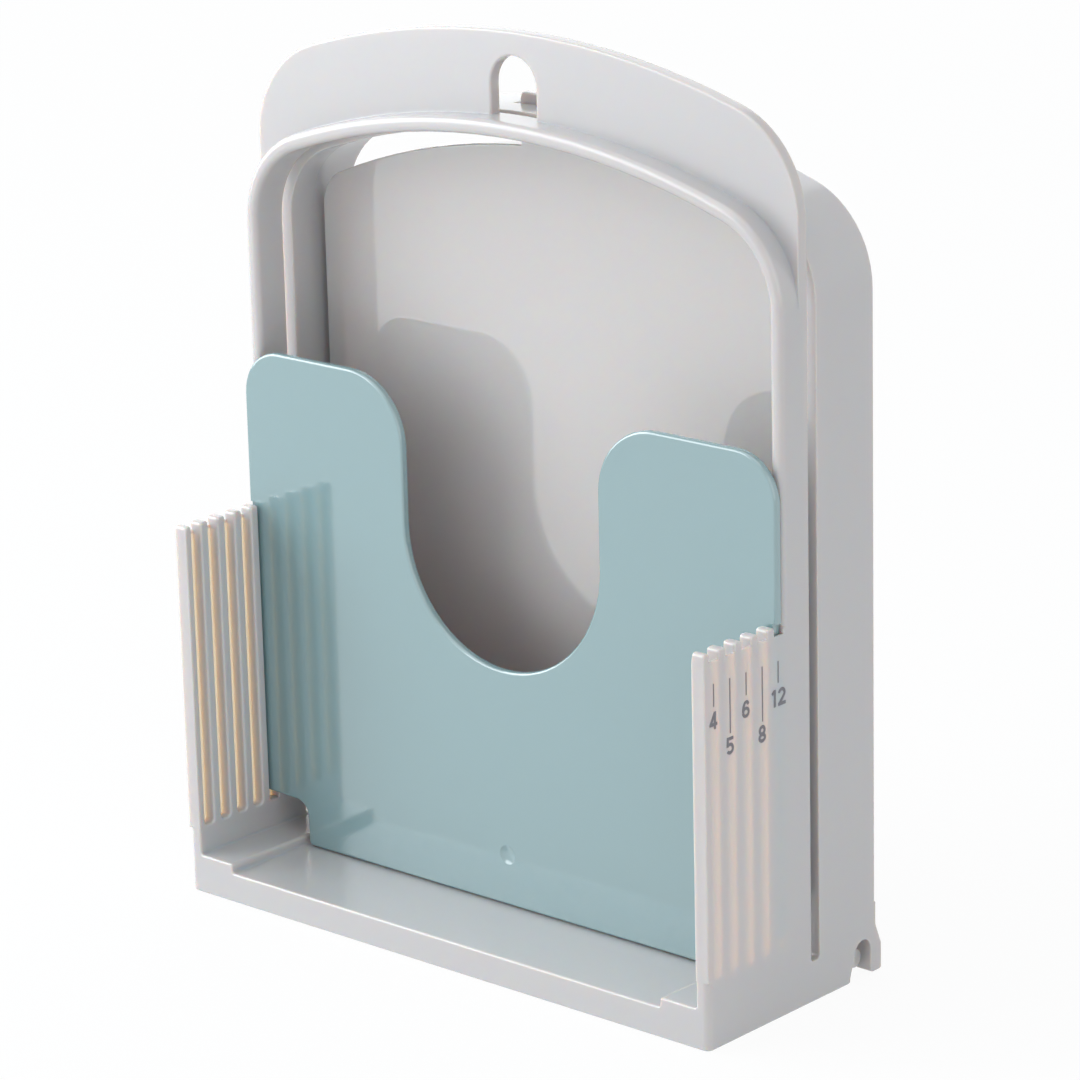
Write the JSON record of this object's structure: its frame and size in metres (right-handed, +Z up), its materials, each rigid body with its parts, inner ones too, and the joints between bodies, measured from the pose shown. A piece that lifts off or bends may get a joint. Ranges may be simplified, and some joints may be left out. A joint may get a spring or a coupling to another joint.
{
  "type": "bread slicer guide",
  "caption": "Upright bread slicing guide: an arched body with a knife slit and grooved side combs, a lift-out stopper plate and a rear tray that folds down to carry the loaf.",
  "frame": {"origin": "middle of the bounding box in X and Y, on the table surface that the base stands on", "axes": "+Z up, +Y towards the rear where the tray folds down, +X to the right seen from the front"},
  "size_m": [0.145, 0.0556, 0.191],
  "materials": {
    "body_plastic": "pale warm grey moulded plastic, glossy",
    "plate_plastic": "blue-green moulded plastic, glossy",
    "tray_plastic": "pale warm grey moulded plastic, highly polished"
  },
  "bodies": {
    "body": {"body": "body_plastic"},
    "stopper_plate": {"stopper_plate": "plate_plastic"},
    "tray": {"tray": "tray_plastic"}
  },
  "joints": [
    {"name": "plate_lift", "type": "slide", "parent": "body", "child": "stopper_plate", "axis": [0, 0, 1], "range_m": [0, 0.08]},
    {"name": "tray_fold", "type": "hinge", "parent": "body", "child": "tray", "pos_m": [0, 0.02175, 0.0038], "axis": [-1, 0, 0], "range_deg": [0, 90]}
  ]
}
